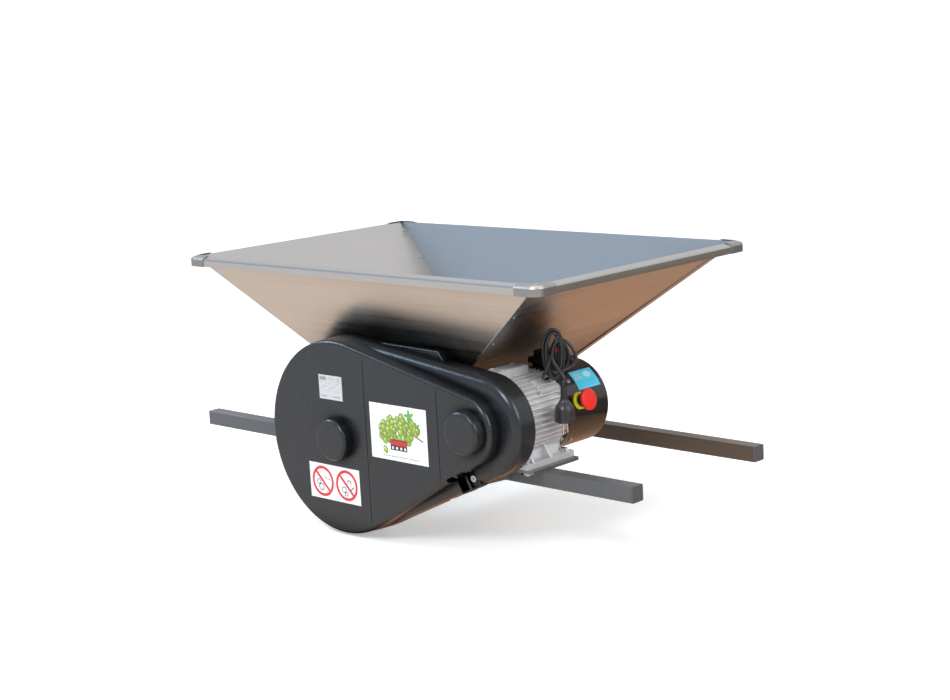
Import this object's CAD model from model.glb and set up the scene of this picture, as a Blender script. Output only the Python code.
"""A motor-driven roller mill with a steel hopper, a black guard and a coiled mains lead.

It stands in its frame with +Z up and the labelled guard face looking along -Y.
The motor and the mains lead lie on the +X side, the fan cowl towards +Y.
"""

import math
import random

import bmesh
import bpy
from mathutils import Matrix, Vector, noise as mnoise


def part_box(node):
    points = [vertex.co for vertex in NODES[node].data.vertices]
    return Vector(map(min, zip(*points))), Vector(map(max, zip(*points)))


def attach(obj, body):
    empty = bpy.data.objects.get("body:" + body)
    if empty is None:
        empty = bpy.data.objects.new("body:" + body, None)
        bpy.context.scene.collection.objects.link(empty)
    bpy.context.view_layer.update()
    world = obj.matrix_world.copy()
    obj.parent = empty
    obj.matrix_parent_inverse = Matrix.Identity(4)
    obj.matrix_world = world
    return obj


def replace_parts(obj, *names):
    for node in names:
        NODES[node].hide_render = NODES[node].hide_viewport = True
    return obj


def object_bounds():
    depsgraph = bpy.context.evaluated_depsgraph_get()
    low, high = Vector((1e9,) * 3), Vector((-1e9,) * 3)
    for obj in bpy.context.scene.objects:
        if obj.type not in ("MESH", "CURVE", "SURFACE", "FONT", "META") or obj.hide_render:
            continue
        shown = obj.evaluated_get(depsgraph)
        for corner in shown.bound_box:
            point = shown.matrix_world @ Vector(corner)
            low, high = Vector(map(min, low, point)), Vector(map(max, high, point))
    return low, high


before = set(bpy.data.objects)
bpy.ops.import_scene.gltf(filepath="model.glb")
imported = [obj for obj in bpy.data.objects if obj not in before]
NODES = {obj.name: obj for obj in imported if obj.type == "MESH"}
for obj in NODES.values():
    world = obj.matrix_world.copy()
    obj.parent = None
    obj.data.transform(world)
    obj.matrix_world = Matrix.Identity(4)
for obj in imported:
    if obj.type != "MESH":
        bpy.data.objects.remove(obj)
before = [list(v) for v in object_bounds()]
scene = bpy.context.scene
UP = Vector((0, 0, 1))
MATERIALS = {}


# ------------------------------------------------------------------ colours and nodes
def lin(rgb, factor=1, lift=0):
    """sRGB 0..255, scaled and lifted up to white, as linear RGBA."""
    out = []
    for value in rgb:
        value = min(255, value * factor + lift) / 255.0
        out.append(value / 12.92 if value <= 0.04045 else ((value + 0.055) / 1.055) ** 2.4)
    return (*out, 1.0)


def connect(node, inputs):
    """Link the sockets and set the plain values; None leaves an input alone."""
    for key, value in inputs.items():
        if isinstance(value, bpy.types.NodeSocket):
            node.id_data.links.new(value, node.inputs[key])
        elif value is not None:
            node.inputs[key].default_value = value


def add_node(tree, kind, inputs=None, **settings):
    node = tree.nodes.new("ShaderNode" + kind)
    for key, value in settings.items():
        setattr(node, key, value)
    connect(node, inputs or {})
    return node


class Material:
    """A procedural material on object coordinates, kept in MATERIALS under its name."""

    def __init__(self, name):
        material = MATERIALS[name] = bpy.data.materials.new(name)
        material.use_nodes = True
        self.tree = material.node_tree
        self.tree.nodes.clear()
        output = self.node("OutputMaterial")
        self.shader = self.node("BsdfPrincipled")
        connect(output, {0: self.shader.outputs[0]})
        self.position = self.node("TexCoord").outputs["Object"]
        self.normal = None

    def node(self, kind, inputs=None, **settings):
        return add_node(self.tree, kind, inputs, **settings)

    def put(self, inputs):
        connect(self.shader, inputs)

    def map(self, scale, rot=(0, 0, 0), loc=(0, 0, 0)):
        return self.node("Mapping", {"Vector": self.position, "Scale": scale,
                                     "Rotation": rot, "Location": loc}).outputs[0]

    def noise(self, scale, detail=4.0, rough=0.55, dist=0.0, vec=None):
        return self.node("TexNoise", {
            "Vector": vec or self.position, "Scale": scale, "Detail": detail,
            "Roughness": rough, "Distortion": dist}).outputs["Fac"]

    def remap(self, value, span, to=(0.0, 1.0)):
        """Carry the values in span to the range in to, held at its ends."""
        return self.node("MapRange", {
            "Value": value, "From Min": span[0], "From Max": span[1],
            "To Min": to[0], "To Max": to[1]}).outputs["Result"]

    def math(self, operation, a, b=0.0, clamp=False):
        return self.node("Math", {0: a, 1: b, 2: 0.0},
                         operation=operation, use_clamp=clamp).outputs[0]

    def mix(self, factor, a, b):
        return self.node("Mix", {0: factor, 6: a, 7: b}, data_type="RGBA").outputs[2]

    def set_normal(self, socket):
        self.normal = socket
        self.put({"Normal": socket})

    def bevel(self, radius, samples=4):
        self.set_normal(self.node("Bevel", {"Radius": radius}, samples=samples).outputs[0])

    def bump(self, height, dist, strength):
        self.set_normal(self.node("Bump", {
            "Distance": dist, "Strength": strength, "Height": height,
            "Normal": self.normal}).outputs[0])

    def geometry(self, output):
        return self.node("NewGeometry").outputs[output]

    def split(self, vector):
        return self.node("SeparateXYZ", {0: vector}).outputs

    def edge(self, radius, span, samples=4):
        """0 on flat faces, up to 1 on sharp edges, from the lean of a rounded normal."""
        true_normal = self.geometry("Normal")
        rounded = self.node("Bevel", {"Radius": radius}, samples=samples).outputs[0]
        dot = self.node("VectorMath", {0: true_normal, 1: rounded}, operation="DOT_PRODUCT")
        return self.remap(dot.outputs["Value"], span=span)

    def occlusion(self, dist):
        return self.node("AmbientOcclusion", {"Distance": dist}, samples=8).outputs["AO"]

    def dust(self, base, rgb, amount):
        """A little settled dust on faces that look up."""
        up = self.split(self.geometry("Normal"))[2]
        mask = self.math("MULTIPLY", self.remap(up, span=(0.35, 0.95)), self.remap(
            self.noise(scale=18.0, detail=5, rough=0.65), span=(0.35, 0.75), to=(0.15, 1.0)))
        return self.mix(self.math("MULTIPLY", mask, amount), base, lin(rgb))


# ------------------------------------------------------------------ material families
def brushed(name, base, axis, rough=(0.26, 0.36), grain=0.000008, shade=None):
    """Stainless sheet brushed along axis (0 X, 1 Y, 2 Z), with faint wipe marks.

    shade darkens it: near neighbours over the occlusion span, by less to the left,
    and low down at the outlet.
    """
    mat = Material(name)

    def streaks(across, along, loc=(0, 0, 0)):
        scale = [across] * 3
        scale[axis] = along
        return mat.map(scale=scale, loc=loc)

    fine = mat.noise(scale=1.0, detail=3, rough=0.6, vec=streaks(across=900.0, along=9.0))
    mid = mat.noise(scale=1.0, detail=2, rough=0.5,
                    vec=streaks(across=160.0, along=2.2, loc=(3.1, 1.7, 0.4)))
    cloud = mat.noise(scale=4.2, rough=0.6, dist=0.6)
    smear = mat.noise(scale=13.0, detail=5, rough=0.62, dist=1.2)
    colour = mat.mix(mat.remap(fine, span=(0.3, 0.7), to=(0.0, 0.10)),
                     lin(base), lin(base, factor=0.8))
    colour = mat.mix(mat.remap(mid, span=(0.35, 0.7), to=(0.0, 0.05)),
                     colour, lin(base, factor=1.10))
    colour = mat.mix(mat.remap(cloud, span=(0.4, 0.75), to=(0.0, 0.06)),
                     colour, lin(base, factor=0.84))
    if shade:
        low = mat.math(
            "MULTIPLY",
            mat.remap(mat.split(mat.position)[2], span=(0.150, 0.262), to=(shade["low"], 0.0)),
            mat.remap(mat.noise(scale=5.0, detail=3, rough=0.5), span=(0.3, 0.7), to=(0.8, 1.0)))
        near = mat.math(
            "MULTIPLY",
            mat.remap(mat.occlusion(dist=0.26), span=shade["span"], to=(shade["near"], 0.0)),
            mat.remap(mat.split(mat.position)[0], span=(-0.10, 0.08), to=(shade["left"], 1.0)))
        grime = [value * f for value, f in zip(base, (0.13, 0.145, 0.16))]
        colour = mat.mix(mat.math("MAXIMUM", low, near), colour, lin(grime))
    roughness = mat.math("ADD", mat.remap(mid, span=(0.3, 0.7), to=rough),
                         mat.remap(smear, span=(0.45, 0.7), to=(0.0, 0.04)))
    roughness = mat.math("ADD", roughness,
                         mat.remap(fine, span=(0.3, 0.7), to=(-0.01, 0.015)))
    mat.put({"Base Color": colour, "Metallic": 1.0, "Roughness": roughness,
             "Anisotropic": 0.35})
    mat.bevel(radius=0.0005, samples=3)
    mat.bump(fine, dist=grain, strength=0.22)
    mat.bump(cloud, dist=0.0008, strength=0.10)


SEAM_X = (0.0355, 0.2245)       # mould lines across the front face of the guard


def plastic(name, base, rough=0.45, grain=900.0, depth=0.00004, spec=0.5, var=0.10,
            edge_lift=0.10, dust=0.05, bevel=0.0008, seams=False):
    """Moulded plastic or rubber; seams adds dirty mould lines and dark valleys."""
    mat = Material(name)
    fine = mat.noise(scale=grain, detail=3, rough=0.6)
    cells = mat.node("TexVoronoi", {"Vector": mat.position, "Scale": grain * 0.8})
    cloud = mat.noise(scale=9.0, rough=0.6, dist=0.5)
    colour = mat.mix(mat.remap(cloud, span=(0.3, 0.7), to=(0.0, var)),
                     lin(base), lin(base, factor=0.78))
    colour = mat.mix(mat.remap(fine, span=(0.35, 0.7), to=(0.0, 0.10)),
                     colour, lin(base, factor=1.22, lift=4))
    if edge_lift:
        edge = mat.edge(radius=0.0012, span=(0.995, 0.90))
        edge = mat.math("MULTIPLY", edge, mat.remap(
            mat.noise(scale=60.0, rough=0.7), span=(0.35, 0.7), to=(0.2, 1.0)))
        colour = mat.mix(mat.math("MULTIPLY", edge, edge_lift),
                         colour, lin(base, factor=1.5, lift=26))
    if dust:
        colour = mat.dust(colour, rgb=(176, 168, 156), amount=dust)
    if seams:
        along = mat.split(mat.position)[0]
        facing = mat.remap(mat.split(mat.geometry("True Normal"))[1],
                           span=(-0.97, -0.90), to=(1.0, 0.0))
        lines = [mat.remap(mat.math("ABSOLUTE", mat.math("SUBTRACT", along, x)),
                           span=(0.0005, 0.0016), to=(1.0, 0.0)) for x in SEAM_X]
        seam = mat.math("MULTIPLY", mat.math("MAXIMUM", *lines), facing, clamp=True)
        colour = mat.mix(mat.math("MULTIPLY", seam, 0.85), colour, lin((9, 9, 9)))
        valley = mat.remap(mat.occlusion(dist=0.060), span=(0.42, 0.88), to=(0.92, 0.0))
        colour = mat.mix(valley, colour, lin((5, 5, 5)))
    scuffs = mat.noise(scale=1.0, rough=0.6, vec=mat.map(scale=(40, 40, 40), rot=(0.4, 0.9, 0.2)))
    mat.put({"Base Color": colour, "Coat Roughness": 0.08, "Roughness": mat.math(
        "ADD", mat.remap(cloud, span=(0.3, 0.7), to=(rough - 0.04, rough + 0.05)),
        mat.remap(scuffs, span=(0.5, 0.8), to=(0.0, 0.06)))})
    if seams:
        # less shine in the valleys between the steps and on faces that look up
        open_air = mat.remap(mat.occlusion(dist=0.060), span=(0.42, 0.90), to=(0.02, 1.0))
        up = mat.remap(mat.split(mat.geometry("Normal"))[2], span=(0.60, 0.96), to=(1.0, 0.45))
        spec = mat.math("MULTIPLY", mat.math("MULTIPLY", open_air, up), spec)
        mat.put({"Specular Tint": (0.86, 0.94, 1.0, 1.0)})
    mat.put({"Specular IOR Level": spec})
    if bevel:
        mat.bevel(radius=bevel)
    pits = mat.math("MULTIPLY", cells.outputs["Distance"], 0.6)
    mat.bump(mat.math("ADD", fine, pits), dist=depth, strength=0.6)
    mat.bump(cloud, dist=0.0006, strength=0.03 if seams else 0.10)


def metal(name, base, rough=0.35, grain=1400.0, depth=0.00003, var=0.22, dark=None,
          metallic=1.0):
    """Cast, plated or machined metal: mottling, pits, grime and brighter rubbed edges."""
    mat = Material(name)
    fine = mat.noise(scale=grain, rough=0.65)
    mottle = mat.noise(scale=55.0, detail=5, rough=0.65, dist=0.4)
    grime = mat.noise(scale=16.0, detail=5, rough=0.6)
    colour = mat.mix(mat.remap(mottle, span=(0.3, 0.75), to=(0.0, var)),
                     lin(base), lin(dark) if dark else lin(base, factor=0.62))
    colour = mat.mix(mat.remap(grime, span=(0.52, 0.78), to=(0.0, 0.30)),
                     colour, lin(dark or base, factor=0.5))
    edge = mat.edge(radius=0.0010, span=(0.995, 0.90), samples=3)
    colour = mat.mix(mat.math("MULTIPLY", edge, 0.35), colour, lin(base, factor=1.25, lift=18))
    mat.put({"Base Color": colour, "Metallic": metallic, "Roughness": mat.math(
        "ADD", mat.remap(fine, span=(0.3, 0.7), to=(rough - 0.05, rough + 0.07)),
        mat.remap(mottle, span=(0.4, 0.7), to=(0.0, 0.08)))})
    mat.bevel(radius=0.0005, samples=3)
    mat.bump(fine, dist=depth, strength=0.55)
    mat.bump(mottle, dist=0.0002, strength=0.22)


def painted(name, base, rough, chips, dust, under=(120, 118, 116), coat=0.0, peel=320.0,
            peel_depth=0.00003, specks=0.18):
    """Paint on steel: orange peel, uneven thickness, edge chips showing what lies under."""
    mat = Material(name)
    orange_peel = mat.noise(scale=peel, detail=2, rough=0.5)
    cloud = mat.noise(scale=7.0, rough=0.6, dist=0.5)
    speck = mat.noise(scale=240.0, rough=0.7)
    colour = mat.mix(mat.remap(cloud, span=(0.3, 0.7), to=(0.0, 0.16)),
                     lin(base), lin(base, factor=0.8))
    colour = mat.mix(mat.remap(speck, span=(0.62, 0.72), to=(0.0, specks)),
                     colour, lin(base, factor=1.35, lift=8))
    edge = mat.edge(radius=0.0016, span=(0.99, 0.88))
    patches = mat.remap(mat.noise(scale=75.0, detail=5, rough=0.75), span=(0.52, 0.62))
    edge = mat.math("MULTIPLY", edge, patches, clamp=True)
    colour = mat.mix(mat.math("MULTIPLY", edge, chips), colour, lin(under))
    colour = mat.dust(colour, rgb=(186, 176, 164), amount=dust)
    mat.put({"Base Color": colour, "Coat Weight": coat, "Coat Roughness": 0.06,
             "Roughness": mat.math(
                 "ADD", mat.remap(cloud, span=(0.3, 0.7), to=(rough - 0.04, rough + 0.05)),
                 mat.remap(speck, span=(0.5, 0.8), to=(0.0, 0.05)))})
    mat.bevel(radius=0.0007)
    mat.bump(orange_peel, dist=peel_depth, strength=0.5)


def printed(name):
    """Printed film: the mesh's own ink colours under a light sheen, grain and scuffs."""
    mat = Material(name)
    ink = mat.node("Attribute", attribute_name="ink").outputs["Color"]
    paper = mat.noise(scale=420.0, detail=3, rough=0.6)
    wear = mat.noise(scale=38.0, detail=5, rough=0.7, dist=0.5)
    mat.put({"Base Color": mat.mix(mat.remap(wear, span=(0.56, 0.78), to=(0.0, 0.10)),
                                   ink, lin((190, 188, 184))),
             "Roughness": mat.remap(wear, span=(0.3, 0.7), to=(0.28, 0.40)),
             "Specular IOR Level": 0.45})
    mat.bump(paper, dist=0.00002, strength=0.4)
    mat.bump(wear, dist=0.0002, strength=0.10)


SHEET = (205, 203, 200)         # hopper sheet colour
brushed("steel_x", SHEET, axis=0, shade=dict(span=(0.10, 0.84), near=0.92, low=0.34, left=0.60))
brushed("steel_y", SHEET, axis=1, shade=dict(span=(0.12, 0.66), near=0.94, low=0.86, left=1.0))
brushed("steel_cap", (168, 166, 163), axis=2, rough=(0.34, 0.46), grain=0.00004)
brushed("steel_body", (190, 188, 185), axis=0, rough=(0.32, 0.44))
plastic("guard", (35, 36, 39), rough=0.25, grain=1500.0, spec=0.62, edge_lift=0.05,
        dust=0.015, bevel=0.0012, seams=True)
plastic("black_plastic", (20, 20, 21), rough=0.42, grain=1300.0, depth=0.00005, var=0.15,
        edge_lift=0.2, dust=0.10)
painted("bar", (92, 94, 97), rough=0.42, chips=0.55, dust=0.10)
painted("bar_rear", (86, 70, 58), rough=0.40, chips=0.55, dust=0.18)
metal("zinc", (196, 198, 200), rough=0.30, grain=1800.0, var=0.25)
metal("plate_zinc", (150, 150, 150), rough=0.42, grain=900.0, var=0.35)
plastic("cap_grey", (84, 82, 83), depth=0.00005, var=0.15, edge_lift=0.2, dust=0.06)
plastic("nylon", (214, 210, 198), rough=0.5, grain=700.0, var=0.12)
metal("cast", (176, 178, 180), rough=0.44, grain=750.0, depth=0.0001, var=0.3)
metal("spring", (62, 63, 66), rough=0.32, var=0.2)
metal("gear", (112, 110, 108), rough=0.36, grain=600.0, var=0.4, dark=(56, 50, 44))
plastic("belt", (30, 30, 30), rough=0.7, grain=1200.0, depth=0.00008, var=0.25,
        edge_lift=0.3, dust=0.08)
metal("motor", (234, 233, 234), rough=0.42, grain=900.0, depth=0.00008,
      dark=(146, 147, 149), metallic=0.45)
metal("laminate", (84, 84, 87), rough=0.5, grain=500.0, var=0.3)
painted("cowl", (20, 18, 17), rough=0.24, chips=0.5, dust=0.03, under=(100, 98, 96),
        coat=0.6, peel=150.0, peel_depth=0.000012, specks=0.04)
plastic("yellow", (252, 246, 46), rough=0.3, depth=0.00002, var=0.06, dust=0.0)
plastic("red", (238, 30, 8), rough=0.34, depth=0.00002, var=0.08, edge_lift=0.12, dust=0.0)
plastic("green", (18, 84, 48), rough=0.32, depth=0.00002, var=0.08, edge_lift=0.12)
plastic("cable", (46, 46, 48), rough=0.27, grain=1600.0, depth=0.00003, var=0.12,
        edge_lift=0.0, dust=0.06, bevel=0.0)
metal("nickel", (214, 208, 194), rough=0.22, grain=1500.0, var=0.15)
printed("print")
metal("rivet", (208, 209, 210), rough=0.30, grain=1500.0, var=0.2)

# material: the frame's pieces that wear it
WEARERS = {
    "steel_x": "hopper_front_panel hopper_rear_panel",
    "steel_y": "hopper_left_panel hopper_right_panel",
    "steel_cap": "hopper_corner_caps",
    "rivet": "hopper_rivets",
    "steel_body": "front_end_plate rear_end_plate left_side_plate right_side_plate",
    "bar": "front_bar",
    "bar_rear": "rear_bar",
    "cap_grey": "bar_end_caps",
    "zinc": "frame_bolts body_bolts guard_screws motor_bolts cowl_screws drive_shaft "
            "driven_shaft drive_shaft_keys driven_shaft_keys pulley_nut motor_shaft "
            "motor_bearings",
    "nylon": "front_bearing_blocks rear_bearing_blocks",
    "cast": "drive_roller driven_roller large_pulley motor_pulley",
    "spring": "drive_shaft_circlip driven_shaft_circlips",
    "gear": "drive_gear driven_gear",
    "belt": "v_belt",
    "guard": "guard_shell",
    "plate_zinc": "guard_brackets motor_plate",
    "motor": "motor_frame drive_end_shield rear_end_shield",
    "laminate": "stator rotor",
    "cowl": "fan_cowl",
    "black_plastic": "cooling_fan capacitor estop_body estop_plunger switch_box cable_gland",
    "yellow": "estop_collar",
    "red": "estop_button stop_button",
    "green": "start_button",
}
MATERIAL_OF = {piece: name for name, pieces in WEARERS.items() for piece in pieces.split()}
for piece, obj in NODES.items():
    obj.data.materials.clear()
    if piece in MATERIAL_OF:
        obj.data.materials.append(MATERIALS[MATERIAL_OF[piece]])


# ------------------------------------------------------------------ mesh helpers
# Shapes are passed round as (verts, faces).
def add_object(name, shape, material, smooth=True, sharp=None):
    """Mesh object riding on the machine; sharp is the crease angle in degrees."""
    verts, faces = shape
    mesh = bpy.data.meshes.new(name)
    mesh.from_pydata([tuple(v) for v in verts], [], faces)
    mesh.validate()
    mesh.update()
    bm = bmesh.new()
    bm.from_mesh(mesh)
    bmesh.ops.recalc_face_normals(bm, faces=bm.faces)
    bm.to_mesh(mesh)
    bm.free()
    if smooth:
        mesh.polygons.foreach_set("use_smooth", [True] * len(mesh.polygons))
        if sharp is not None:
            mesh.set_sharp_from_angle(angle=math.radians(sharp))
    obj = bpy.data.objects.new(name, mesh)
    scene.collection.objects.link(obj)
    mesh.materials.append(MATERIALS[material])
    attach(obj, "machine")
    return obj


def catmull(points, steps=10, closed=False):
    """Smooth path through the points; a closed one ends on its first point."""
    pts = [Vector(p) for p in points]
    count = len(pts)
    out = []
    for i in range(count if closed else count - 1):
        p0 = pts[(i - 1) % count] if closed or i > 0 else pts[0] * 2 - pts[1]
        p1, p2 = pts[i], pts[(i + 1) % count]
        p3 = pts[(i + 2) % count] if closed or i + 2 < count else pts[-1] * 2 - pts[-2]
        for k in range(steps):
            t = k / steps
            out.append(0.5 * ((2 * p1) + (p2 - p0) * t
                              + (2 * p0 - 5 * p1 + 4 * p2 - p3) * t * t
                              + (3 * p1 - p0 - 3 * p2 + p3) * t ** 3))
    out.append(out[0] if closed else pts[-1])
    return out


def ring_quads(count, seg):
    """Quads joining count rings of seg points."""
    return [(i * seg + k, i * seg + (k + 1) % seg, (i + 1) * seg + (k + 1) % seg,
             (i + 1) * seg + k) for i in range(count - 1) for k in range(seg)]


def end_caps(count, seg):
    return [tuple(range(seg - 1, -1, -1)), tuple(range((count - 1) * seg, count * seg))]


def tube(path, radius, seg, cap=True):
    """Round tube swept along a path by parallel transport."""
    verts = []
    tangent = (path[1] - path[0]).normalized()
    normal = tangent.orthogonal().normalized()
    for i, point in enumerate(path):
        ahead = (path[min(i + 1, len(path) - 1)] - path[max(i - 1, 0)]).normalized()
        normal = (tangent.rotation_difference(ahead) @ normal).normalized()
        tangent = ahead
        binormal = tangent.cross(normal)
        for k in range(seg):
            angle = 2 * math.pi * k / seg
            verts.append(point + (normal * math.cos(angle) + binormal * math.sin(angle)) * radius)
    faces = ring_quads(len(path), seg)
    if cap:
        faces += end_caps(len(path), seg)
    return verts, faces


def loft(rings):
    """Closed solid through rings of equal point counts."""
    size = (len(rings), len(rings[0]))
    bottom, top = end_caps(*size)
    return [p for ring in rings for p in ring], [bottom, *ring_quads(*size), top]


def lathe(profile, origin, seg):
    """Upright solid of revolution; profile is (radius, height) in mm, on the axis at both ends."""
    side = UP.orthogonal().normalized()
    other = UP.cross(side)
    verts, faces, rings = [], [], []
    for radius, height in profile:
        centre = origin + UP * (height / 1000)
        if radius == 0:
            rings.append([len(verts)])
            verts.append(centre)
            continue
        rings.append(list(range(len(verts), len(verts) + seg)))
        for k in range(seg):
            angle = 2 * math.pi * k / seg
            verts.append(centre + (side * math.cos(angle) + other * math.sin(angle))
                         * (radius / 1000))
    for low, high in zip(rings, rings[1:]):
        for k in range(seg):
            after_k = (k + 1) % seg
            if len(low) == 1:
                faces.append((low[0], high[k], high[after_k]))
            elif len(high) == 1:
                faces.append((low[k], high[0], low[after_k]))
            else:
                faces.append((low[k], high[k], high[after_k], low[after_k]))
    return verts, faces


def merge(*shapes):
    verts, faces = [], []
    for shape_verts, shape_faces in shapes:
        first = len(verts)
        verts += shape_verts
        faces += [tuple(i + first for i in face) for face in shape_faces]
    return verts, faces


# ------------------------------------------------------------------ mains lead
HANK_CENTRE = Vector((0.362, 0.062, 0.227))
HANK_SIDE = Vector((0.69, 0.7238, 0)).normalized()          # sideways in the hank's plane
HANK_OUT = Vector((HANK_SIDE.y, -HANK_SIDE.x, 0))           # towards the camera
CABLE_RADIUS = 0.0029
CABLE_SEG = 14
PLUG_X, PLUG_Y = 0.3918, 0.0329
PLUG_TOP = Vector((PLUG_X, PLUG_Y, 0.177))

# Hank points are millimetres (sideways, up, towards the camera) from its centre.
# Closed turns, squeezed together at the bottom
TURNS = (
    ((-31, 9, 4), (-30, 26, 5), (-22, 43, 5), (-12, 48, 4), (-2, 42, 3), (4, 26, 2), (7, 9, 1),
     (6, -10, 1), (1, -28, 2), (-6, -40, 3), (-15, -42, 4), (-24, -30, 5), (-30, -10, 5)),
    ((-26, 8, 10), (-24, 26, 10), (-18, 39, 9), (-11, 42, 8), (-4, 36, 7), (1, 22, 7), (2, 6, 7),
     (0, -14, 8), (-5, -30, 9), (-12, -41, 9), (-19, -34, 10), (-25, -14, 10)),
    ((-24, 10, -1), (-22, 28, -2), (-15, 40, -2), (-8, 39, -3), (-3, 29, -4), (-2, 12, -4),
     (-3, -8, -4), (-5, -26, -3), (-10, -37, -3), (-17, -36, -2), (-21, -18, -1)),
    ((-29, 0, -9), (-28, 20, -9), (-20, 37, -10), (-10, 45, -10), (0, 35, -10), (5, 16, -10),
     (7, -4, -9), (4, -24, -9), (-3, -40, -8), (-14, -44, -8), (-24, -26, -8)),
    ((5, 27, -3), (17, 18.5, -1), (26, 4, 1), (28, -8, 3), (23, -17, 6), (13, -23, 10),
     (-1, -27, 14), (-13, -29, 13), (-20, -22, 4), (-18, -6, -6), (-12, 14, -13), (-4, 27, -11)),
    ((6, 22, -14), (13, 10, -12), (16, -5, -10), (13, -18, -9), (5, -29, -8), (-6, -37, -13),
     (-14, -30, -15), (-13, -10, -16), (-7, 12, -17), (0, 23, -17)),
)
# Turn that crosses the front from top right to bottom left and tucks in behind
CROSSING = ((2, 30, -6), (-1, 38, 2), (-6, 34, 11), (-11, 22, 15), (-17, 4, 16), (-24, -14, 16),
            (-31, -29, 14), (-34, -38, 8), (-29, -44, -1), (-17, -42, -13))
# Way in from the gland, and way out to the plug
LEAD_IN = ((20, -10, -12), (12, -20, -18), (0, -30, -19), (-10, -36, -16))
LEAD_OUT = ((-3, 28, 10), (-9, 26, 15), (-15, 12, 18), (-16, -3, 20), (-9, -18, 23), (0, -30, 29),
            (2, -40, 36))
TIE_TAIL = ((-20, -33, 10), (-23, -37, 14), (-24, -42, 15), (-22, -46, 15))


def hank_point(side, up, out):
    return (HANK_CENTRE + HANK_SIDE * (side / 1000) + UP * (up / 1000)
            + HANK_OUT * (out / 1000))


def hank_points(table):
    return [hank_point(*row) for row in table]


def cable():
    low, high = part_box("cable_gland")
    gland = Vector((high.x - 0.002, (low.y + high.y) / 2, (low.z + high.z) / 2))
    from_gland = [gland, gland + Vector((0.010, 0, 0)), gland + Vector((0.020, -0.008, -0.002))]
    into_plug = [PLUG_TOP + UP * 0.008, PLUG_TOP, PLUG_TOP - UP * 0.010]
    strands = [tube(catmull(hank_points(turn), steps=11, closed=True), CABLE_RADIUS, CABLE_SEG,
                    cap=False) for turn in TURNS]
    for points in (hank_points(CROSSING), from_gland + hank_points(LEAD_IN),
                   hank_points(LEAD_OUT) + into_plug):
        strands.append(tube(catmull(points), CABLE_RADIUS, CABLE_SEG))
    return add_object("power_cable_hank", merge(*strands), "cable")


def hank_tie():
    """Twisted tie round the waist of the hank, with one loose end."""
    loop = []
    for k in range(25):
        a = 2 * math.pi * k / 24
        loop.append(hank_point(side=-9.5 + 16.5 * math.cos(a), up=-33 + 1.2 * math.sin(a * 2),
                               out=15.0 * math.sin(a) - 2))
    tail = catmull(hank_points(TIE_TAIL), steps=6)
    shape = merge(tube(loop, radius=0.0012, seg=8, cap=False), tube(tail, radius=0.0011, seg=8))
    add_object("hank_tie", shape, "black_plastic")


lead = cable()
hank_tie()
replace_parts(lead, "power_cable")

# ------------------------------------------------------------------ plug, in millimetres
PIN_LINE = Vector((0.304, -0.953, 0)).normalized()          # along the row of two pins
PIN_CROSS = Vector((-PIN_LINE.y, PIN_LINE.x, 0))            # across them
PIN_OFFSET = 9.5

# Moulded body: (radius, half width between the flat sides, height)
PLUG_BODY = (
    (17.6, 15.4, 113.0), (18.6, 16.2, 113.5), (18.9, 16.5, 114.4), (18.9, 16.5, 120.2),
    (18.3, 16.0, 120.8), (18.3, 16.0, 121.4), (18.9, 16.4, 122.0), (18.8, 16.3, 129.0),
    (18.4, 16.0, 134.5), (17.4, 15.3, 138.6), (15.4, 14.2, 142.6), (12.6, 12.4, 146.4),
    (10.2, 10.2, 149.4), (8.6, 8.6, 151.6), (7.9, 7.9, 153.4),
)
# Pin: (radius, height)
PIN_PROFILE = ((0, 91.0), (1.2, 91.0), (2.0, 91.6), (2.3, 92.6), (2.3, 103.0), (2.05, 103.2),
               (2.05, 113.2), (0, 113.2))
RIBS, RIB_START, RIB_PITCH = 6, 152.8, 4.0
RIB_RADIUS, RIB_TAPER = 7.3, 0.22                           # first rib, and loss per rib


def plug_point(x, y, z):
    """x along the pin line, y across it."""
    return Vector((PLUG_X, PLUG_Y, z / 1000)) + PIN_LINE * (x / 1000) + PIN_CROSS * (y / 1000)


def flattened_ring(radius, flat, z, count=56):
    """Round outline with two nearly flat sides."""
    ring = []
    for k in range(count):
        a = 2 * math.pi * k / count
        x, y = radius * math.cos(a), radius * math.sin(a)
        if abs(y) > flat:
            y = math.copysign(flat + (abs(y) - flat) * 0.06, y)
        ring.append(plug_point(x, y, z))
    return ring


def grip_lip(heading):
    """Raised oval lip on the side of the body, centred on the heading in degrees."""
    path = []
    for k in range(41):
        w = 2 * math.pi * k / 40
        z = 129.5 + 9.5 * math.sin(w)
        a = math.radians(heading) + (4.6 / 18.8) * math.cos(w) * (1.0 - 0.25 * math.sin(w))
        radius = 18.9 if z < 134 else 18.9 - (z - 134) * 0.36
        path.append(plug_point(radius * math.cos(a), radius * math.sin(a), z))
    return tube(path, radius=0.0007, seg=8, cap=False)


def earth_spring(side, z):
    """Earth contact strip lying on a flat side."""
    path = [plug_point(x, side * y, z)
            for x, y in ((-6.0, 16.2), (-5.0, 16.6), (5.0, 16.6), (6.0, 16.2))]
    return tube(path, radius=0.0009, seg=8)


def strain_relief():
    """Ribbed sleeve round the cable above the body."""
    profile = [(0.0, 152.6), (7.4, 152.6)]
    for i in range(RIBS):
        r = RIB_RADIUS - i * RIB_TAPER
        z = RIB_START + i * RIB_PITCH
        profile += [(r, z + 1.9), (r - 0.3, z + 2.3), (4.4, z + 2.5), (4.4, z + 3.7),
                    (r - 0.5, z + 3.9), (r - 0.25, z + 4.1)]
    z = RIB_START + RIBS * RIB_PITCH
    profile += [(4.6, z + 0.9), (4.1, z + 1.3), (0.0, z + 1.3)]
    return lathe(profile, plug_point(0, 0, 0), seg=28)


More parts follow.
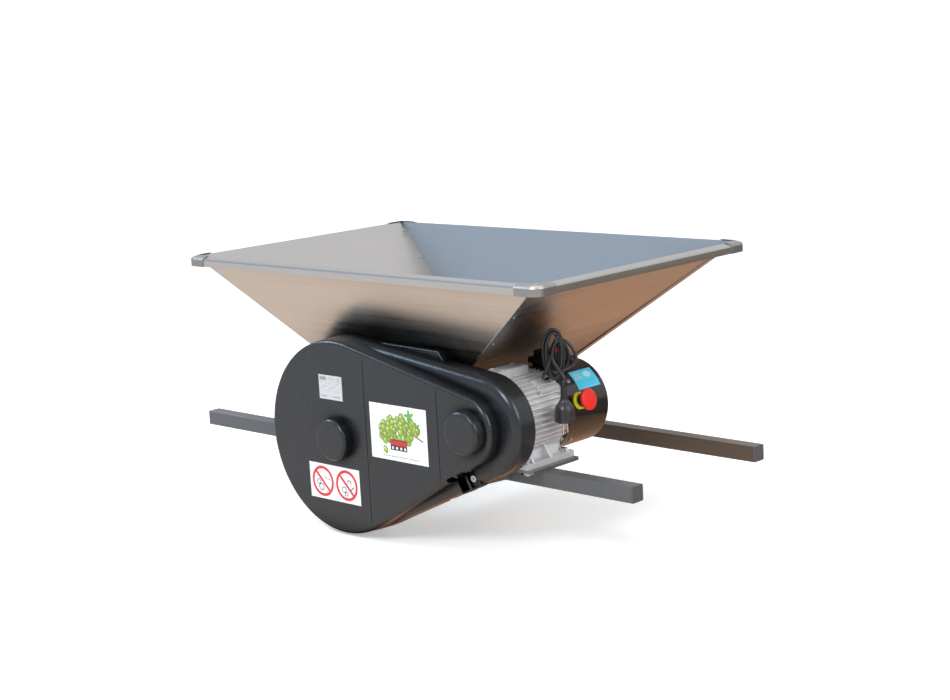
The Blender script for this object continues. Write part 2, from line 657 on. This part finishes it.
moulding = merge(loft([flattened_ring(*station) for station in PLUG_BODY]), strain_relief(),
                 *[grip_lip(heading) for heading in (46.6, 226.6)],
                 *[earth_spring(side, z) for side in (-1, 1) for z in (126.0, 129.0, 132.0)])
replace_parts(add_object("plug_moulding", moulding, "cable", sharp=40), "plug_body")
pin_pair = merge(*[lathe(PIN_PROFILE, plug_point(x, 0, 0), seg=24)
                   for x in (-PIN_OFFSET, PIN_OFFSET)])
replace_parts(add_object("plug_pin_pair", pin_pair, "nickel", sharp=40),
            "plug_pins")


# ------------------------------------------------------------------ labels
def label(name, ink, ink_size, cells, place, thick):
    """Thin sheet with a dense printed face.

    ink(x, y) gives the colour over ink_size in mm; place(u, v, t) gives the point,
    with u and v in 0..1 and t the height above the surface in metres.
    """
    (width, height), (cols, rows) = ink_size, cells
    stride = cols + 1
    verts, faces, colours = [], [], []
    for row in range(rows + 1):
        for col in range(stride):
            u, v = col / cols, row / rows
            verts.append(place(u, v, thick))
            colours.append(lin(ink(u * width, v * height)))
    for row in range(rows):
        for col in range(cols):
            a = row * stride + col
            faces.append((a, a + 1, a + stride + 1, a + stride))
    # edge strip down to the surface, and the back
    rim = [*range(stride), *[row * stride + cols for row in range(1, rows + 1)],
           *[rows * stride + col for col in range(cols - 1, -1, -1)],
           *[row * stride for row in range(rows - 1, 0, -1)]]
    base, count = len(verts), len(rim)
    for index in rim:
        verts.append(place(index % stride / cols, index // stride / rows, 0.0))
        colours.append(colours[index])
    for k in range(count):
        after_k = (k + 1) % count
        faces.append((rim[k], base + k, base + after_k, rim[after_k]))
    faces.append(tuple(range(base, base + count)))
    obj = add_object(name, (verts, faces), "print", smooth=False)
    attribute = obj.data.color_attributes.new("ink", "FLOAT_COLOR", "POINT")
    attribute.data.foreach_set("color", [value for rgba in colours for value in rgba])
    return obj


def blend(a, b, t):
    return tuple(a[i] + (b[i] - a[i]) * t for i in range(3))


# Ink drawings: x to the right and y up, in millimetres; colours are sRGB 0..255.
BUNCH_X, BUNCH_Y = 72, 58               # middle of the bunch
BUNCH_HALF_W, BUNCH_HALF_H = 52, 26
GRAPE_GAP_SQUARED = 42
LEAVES = ((104, 88, 13, 0.5), (122, 70, 10, -0.6))          # x, y, size, turn


def scatter_grapes():
    """(x, y, half width, half height, turn, tone) of each grape, the outer ones first."""
    rng = random.Random(11)
    grapes = []
    for _ in range(46):
        for _ in range(60):
            a, r = rng.uniform(0, 2 * math.pi), math.sqrt(rng.uniform(0, 1))
            x = BUNCH_X + BUNCH_HALF_W * r * math.cos(a)
            y = (BUNCH_Y + BUNCH_HALF_H * r * math.sin(a)
                 + 0.10 * (r * math.cos(a) * BUNCH_HALF_W))
            if all((x - g[0]) ** 2 + (y - g[1]) ** 2 > GRAPE_GAP_SQUARED for g in grapes):
                break
        grapes.append((x, y, rng.uniform(5.6, 7.6), rng.uniform(7.2, 9.4),
                       rng.uniform(-0.9, 0.9), rng.uniform(0, 1)))
    grapes.sort(key=lambda g: (g[0] - BUNCH_X) ** 2 / 4 + (g[1] - BUNCH_Y) ** 2, reverse=True)
    grapes.append((38, 19, 5.6, 8.0, 0.4, 0.9))
    return grapes


GRAPES = scatter_grapes()


def front_ink(x, y):
    """White grapes with leaves, a coloured block and a row of bars, 148 x 105."""
    colour = (250, 251, 252)
    for leaf_x, leaf_y, size, turn in LEAVES:
        dx, dy = x - leaf_x, y - leaf_y
        a = math.atan2(dy, dx) - turn
        if math.hypot(dx, dy) < size * (0.72 + 0.28 * math.cos(5 * a)):
            vein = 0.5 + 0.5 * math.cos(9 * a)
            colour = blend((92, 158, 70), (150, 204, 120), vein * 0.7)
    # stalk
    if abs((y - 49) + 0.42 * (x - 126)) < 1.6 and 121 < x < 138:
        colour = (150, 78, 52)
    for grape_x, grape_y, half_w, half_h, turn, tone in GRAPES:
        dx, dy = x - grape_x, y - grape_y
        if abs(dx) > 10 or abs(dy) > 10:
            continue
        cos, sin = math.cos(turn), math.sin(turn)
        p, q = (dx * cos + dy * sin) / half_w, (-dx * sin + dy * cos) / half_h
        inside = p * p + q * q
        if inside < 1:
            shade = math.sqrt(1 - inside)
            skin = blend((132, 160, 52), (176, 200, 84), tone)
            shine = math.exp(-((dx + 2.0) ** 2 + (dy - 2.6) ** 2) / 7.0)
            colour = blend(blend((72, 92, 30), skin, 0.25 + 0.75 * shade),
                           (236, 246, 198), 0.75 * shine)
    # dark block holding a red panel and pale squares
    dx, dy = x - 73, y - 30
    if abs(dx) < 22 and abs(dy) < 10.5:
        colour = (44, 42, 50)
        if abs(dx) < 20.6 and -1.5 < dy < 8.6:
            colour = (206, 50, 56)
        if abs(dx) < 19 and -8.4 < dy < -3.2 and int((dx + 40) / 5.4) % 2 == 0:
            colour = (236, 236, 238)
    # row of small bars
    if 6.5 < y < 9.0 and 30 < x < 128 and (math.sin(x * 1.9) + math.sin(x * 0.83)) > -0.35:
        colour = blend(colour, (96, 102, 110), 0.75)
    return colour


def plate_ink(x, y):
    """Data plate: pale metal with columns of short bars, 64 x 47."""
    streak = mnoise.noise(Vector((x * 0.35, y * 4.0, 0.3)))
    colour = tuple(value + 5 * streak for value in (206, 207, 208))
    if 1.2 < x < 62.8 and abs(y - 34.5) < 0.22:
        colour = (120, 122, 124)
    if 36.5 < y < 44:
        if 3 < x < 21:
            dark = abs(y - 40.2) < 1.9 and math.sin(x * 2.1) > -0.5
            colour = (128, 129, 131) if dark else (168, 169, 171)
        if 25 < x < 46 and math.sin(y * 3.4) > 0.2 and math.sin(x * 3.3) > -0.6:
            colour = (158, 142, 142)
        if 50 < x < 60 and abs(math.hypot(x - 55, y - 40.2) - 2.9) < 0.6:
            colour = (140, 141, 143)
    for row, bottom in enumerate((30, 25, 20.5, 16)):
        if (bottom < y < bottom + 1.5 and (int(x / 8.2) + row) % 3 != 1
                and 1.2 < x % 8.2 < 6.0 and 4 < x < 60 and math.sin(x * 5.1 + row) > -0.4):
            colour = (112, 114, 117)
    if 5.5 < y < 7.4 and (5 < x < 20 or 38 < x < 58) and math.sin(x * 4.3) > -0.5:
        colour = (104, 106, 110)
    return colour


def safety_ink(x, y):
    """Two red ring-and-bar symbols over outline shapes, 140.5 x 69.5."""
    colour = (250, 251, 253)
    for k, centre_x in enumerate((36.5, 103.5)):
        dx, dy = x - centre_x, y - 34.7
        d = math.hypot(dx, dy)

        def circle(cx, cy, radius):
            return abs(math.hypot(dx - cx, dy - cy) - radius) < 0.9

        shape = None
        if k == 0:
            if circle(-12, -2, 4.6) or circle(-5, -12, 6.4):
                shape = (64, 68, 84)
            if abs(dy - 8 + 0.35 * (dx - 8)) < 1.2 and 3 < dx < 20:
                shape = (150, 164, 204)
        elif (circle(-8, -9, 5.4) or circle(-2, -17, 3.8)
              or (abs(dy - 10) < 1.0 and 2 < dx < 12)
              or (abs(dx - 12) < 1.0 and 3 < dy < 10)
              or (abs(dx - 4) < 0.9 and 4 < dy < 11)
              or (abs(dy + 4 - 0.8 * (dx - 16)) < 1.4 and 11 < dx < 20)):
            shape = (60, 64, 80)
        if shape and d < 26:
            colour = shape
        slant = abs(dx * math.sin(math.radians(45)) + dy * math.cos(math.radians(45)))
        if abs(d - 27.4) < 2.9 or (slant < 2.7 and d < 28):
            colour = (228, 52, 60)
    return colour


def cowl_ink(x, y):
    """Cyan label, 56 along the motor and 36 round it."""
    colour = (90, 220, 255)
    pale = (236, 250, 255)
    if abs(x - 14) < 7 and abs(y - 25) < 6.0:
        on_cell = int(x) % 3 and int(y) % 4
        colour = blend(colour, pale, 0.85) if on_cell else (120, 170, 205)
    if math.hypot((x - 38) / 9.0, (y - 25) / 6.0) < 1:
        colour = blend(colour, pale, 0.72)
    if 5 < y < 16 and 5 < x < 50 and math.sin(y * 2.3) > 0.25 and math.sin(x * 1.7) > -0.7:
        colour = blend(colour, (40, 96, 150), 0.35)
    if 4.2 < y < 5.0 or x < 1.4 or x > 54.6 or y < 1.4 or y > 34.8:
        colour = blend(colour, (70, 178, 226), 0.6)
    return colour


GUARD_FACE_Y = -123.0                   # mm


def on_guard(left, bottom, width, height):
    """Placing on the front face of the guard, in millimetres."""
    def place(u, v, t):
        return Vector(((left + width * u) / 1000, GUARD_FACE_Y / 1000 - t,
                       (bottom + height * v) / 1000))
    return place


def on_cowl(u, v, t):
    """Placing round the fan cowl: 61 mm along it and 29 degrees round it."""
    a = math.radians(27 + 29 * v)
    radius = 0.0795 + t
    return Vector((0.291 + radius * math.cos(a), (111 + 61 * u) / 1000,
                   0.116 + radius * math.sin(a)))


# name, ink, (left, bottom), (width, height), (columns, rows), thickness in metres
GUARD_LABELS = (
    ("front_label", front_ink, (48.5, 37), (148, 105), (296, 210), 0.0003),
    ("safety_label", safety_ink, (-132, -66), (140.5, 69.5), (300, 150), 0.0003),
    ("data_plate", plate_ink, (-88, 133.5), (64, 47), (200, 150), 0.0005),
)
guard_labels = [label(name, ink, size, cells, on_guard(*corner, *size), thick)
                for name, ink, corner, size, cells, thick in GUARD_LABELS]
for obj in guard_labels:
    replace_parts(obj, "guard_labels")
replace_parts(label("cowl_label_film", cowl_ink, ink_size=(56, 36), cells=(140, 90),
                  place=on_cowl, thick=0.0004), "cowl_label")

# ------------------------------------------------------------------ stage and camera
CAMERA_PLACE = (2.39988, -2.29181, 0.83174)
CAMERA_LENS = 66.62273684
AZIMUTH, ELEVATION, ROLL = (math.radians(a) for a in (43.7, 10.7, -3.01))
FLOOR_DROP = 0.0015                     # below the lowest point of the machine
FLOOR_HALF_WIDTH = 14.0
SWEEP_START, SWEEP_RADIUS, WALL_HEIGHT = 3.2, 1.6, 9.0


def studio_floor():
    """Paper floor that curves up into a wall behind the machine, square to the camera."""
    rows = [(-FLOOR_HALF_WIDTH, 0.0), (SWEEP_START, 0.0)]   # distance back, height
    for k in range(1, 13):
        a = math.pi / 2 * k / 12
        rows.append((SWEEP_START + SWEEP_RADIUS * math.sin(a), SWEEP_RADIUS * (1 - math.cos(a))))
    rows.append((SWEEP_START + SWEEP_RADIUS, WALL_HEIGHT))
    cos, sin = math.cos(AZIMUTH), math.sin(AZIMUTH)
    floor_z = before[0][2] - FLOOR_DROP
    verts = [(-sin * back + cos * x, cos * back + sin * x, floor_z + height)
             for back, height in rows for x in (-FLOOR_HALF_WIDTH, FLOOR_HALF_WIDTH)]
    faces = [(i, i + 1, i + 3, i + 2) for i in range(0, len(verts) - 2, 2)]
    mesh = bpy.data.meshes.new("studio_floor")
    mesh.from_pydata(verts, [], faces)
    mesh.polygons.foreach_set("use_smooth", [True] * len(faces))
    mesh.update()
    floor = bpy.data.objects.new("studio_floor", mesh)
    scene.collection.objects.link(floor)
    mat = Material("studio_paper")
    cloud = mat.remap(mat.noise(scale=3.0, detail=3, rough=0.5), span=(0.3, 0.7), to=(0.0, 0.03))
    seen = mat.node("LightPath").outputs["Is Camera Ray"]
    mat.put({"Base Color": mat.mix(cloud, lin((250, 250, 250)), lin((240, 240, 241))),
             "Roughness": 0.9, "Specular IOR Level": 0.1,
             "Emission Color": (1.0, 1.0, 1.0, 1.0),
             "Emission Strength": mat.math("MULTIPLY", seen, 0.40)})
    mesh.materials.append(MATERIALS["studio_paper"])
    floor.visible_glossy = False


def camera():
    data = bpy.data.cameras.new("camera")
    obj = bpy.data.objects.new("camera", data)
    scene.collection.objects.link(obj)
    scene.camera = obj
    data.sensor_width = 36.0
    data.lens = CAMERA_LENS
    data.clip_start, data.clip_end = 0.05, 60
    forward = Vector((-math.sin(AZIMUTH) * math.cos(ELEVATION),
                      math.cos(AZIMUTH) * math.cos(ELEVATION), -math.sin(ELEVATION)))
    right = Vector((math.cos(AZIMUTH), math.sin(AZIMUTH), 0))
    up = right.cross(forward)
    rolled_right = right * math.cos(ROLL) + up * math.sin(ROLL)
    rolled_up = up * math.cos(ROLL) - right * math.sin(ROLL)
    matrix = Matrix((rolled_right, rolled_up, -forward)).transposed().to_4x4()
    matrix.translation = Vector(CAMERA_PLACE)
    obj.matrix_world = matrix


studio_floor()
camera()

# ------------------------------------------------------------------ world
# What reflections see, from straight down (0) to straight up (1): position, colour
FRONT_TENT = (
    (0.0, (214, 190, 168)), (0.10, (236, 214, 196)), (0.16, (240, 220, 204)),
    (0.30, (240, 226, 214)), (0.40, (236, 230, 227)), (0.43, (226, 226, 228)),
    (0.485, (196, 194, 194)), (0.53, (186, 198, 214)), (0.66, (174, 193, 218)),
    (0.78, (177, 195, 217)), (0.90, (196, 206, 220)), (1.0, (236, 238, 242)),
)
BACK_TENT = (
    (0.0, (150, 112, 88)), (0.14, (192, 148, 119)), (0.21, (195, 151, 122)),
    (0.30, (165, 134, 114)), (0.39, (118, 108, 102)), (0.47, (112, 106, 102)),
    (0.53, (205, 204, 204)), (0.60, (213, 211, 210)), (0.72, (214, 216, 220)),
    (0.86, (224, 224, 226)), (1.0, (236, 238, 242)),
)


def tent_world():
    """White for the camera, an open-air tent for reflections, soft white for the rest."""
    world = bpy.data.worlds.new("tent")
    scene.world = world
    world.use_nodes = True
    tree = world.node_tree
    tree.nodes.clear()

    def ramp(factor, stops):
        node = add_node(tree, "ValToRGB", {"Fac": factor})
        node.color_ramp.interpolation = "EASE"
        elements = node.color_ramp.elements
        while len(elements) > 1:
            elements.remove(elements[-1])
        elements[0].position, elements[0].color = stops[0][0], lin(stops[0][1])
        for position, rgb in stops[1:]:
            elements.new(position).color = lin(rgb)
        return node.outputs["Color"]

    def background(colour, strength):
        return add_node(tree, "Background", {"Color": colour, "Strength": strength}).outputs[0]

    def mix_shader(factor, a, b):
        return add_node(tree, "MixShader", {0: factor, 1: a, 2: b}).outputs[0]

    output = add_node(tree, "OutputWorld")
    ray = add_node(tree, "LightPath").outputs
    direction = add_node(tree, "TexCoord").outputs["Generated"]
    axes = add_node(tree, "SeparateXYZ", {0: direction}).outputs
    half = add_node(tree, "Math", {0: axes["Z"], 1: 0.5}, operation="MULTIPLY").outputs[0]
    height = add_node(tree, "Math", {0: half, 1: 0.5}, operation="ADD").outputs[0]
    front = ramp(height, FRONT_TENT)
    back = ramp(height, BACK_TENT)
    behind = add_node(tree, "MapRange", {"Value": axes["Y"], "From Min": -0.15,
                                         "From Max": 0.45}, interpolation_type="SMOOTHSTEP")
    tent = add_node(tree, "Mix", {0: behind.outputs["Result"], 6: front, 7: back},
                    data_type="RGBA").outputs[2]
    reflected = background(tent, strength=1.15)
    seen = background((1, 1, 1, 1), strength=1.0)
    diffuse = background((0.96, 0.98, 1.0, 1), strength=0.52)
    unseen = mix_shader(ray["Is Glossy Ray"], diffuse, reflected)
    connect(output, {0: mix_shader(ray["Is Camera Ray"], unseen, seen)})


tent_world()


# ------------------------------------------------------------------ lamps
def area(name, place, target, size, power, colour, specular):
    data = bpy.data.lights.new(name, "AREA")
    data.shape = "RECTANGLE"
    data.size, data.size_y = size
    data.energy = power
    data.color = colour
    data.specular_factor = specular
    obj = bpy.data.objects.new(name, data)
    scene.collection.objects.link(obj)
    obj.location = place
    obj.rotation_mode = "QUATERNION"
    obj.rotation_quaternion = (Vector(target) - Vector(place)).to_track_quat("-Z", "Y")
    return obj


lamps = [
    area("key", place=(0.9, -2.7, 2.5), target=(0.05, 0.1, 0.15), size=(1.3, 1.0),
         power=52, colour=(1.0, 0.99, 0.975), specular=1.0),
    area("left_sky", place=(-2.5, -1.1, 2.1), target=(0.0, 0.0, 0.15), size=(2.2, 0.8),
         power=56, colour=(0.66, 0.83, 1.0), specular=1.0),
    area("right_fill", place=(3.0, 0.2, 1.7), target=(0.25, 0.1, 0.15), size=(1.6, 1.6),
         power=30, colour=(1.0, 0.98, 0.96), specular=0.7),
    area("top", place=(0.0, 0.4, 3.2), target=(0.0, 0.15, 0.2), size=(2.4, 2.4),
         power=30, colour=(1.0, 1.0, 1.0), specular=0.4),
]
# the hopper sheet mirrors the surroundings only, so the lamps don't burn out on it
unlit = bpy.data.collections.new("steel_unlit")
for side in ("front", "rear", "left", "right"):
    unlit.objects.link(NODES[f"hopper_{side}_panel"])
for lamp in lamps:
    lamp.light_linking.receiver_collection = unlit
for member in unlit.collection_objects:
    member.light_linking.link_state = "EXCLUDE"

scene.view_settings.view_transform = "Standard"
scene.view_settings.look = "None"
scene.view_settings.exposure = 0.0
scene.view_settings.gamma = 1.0
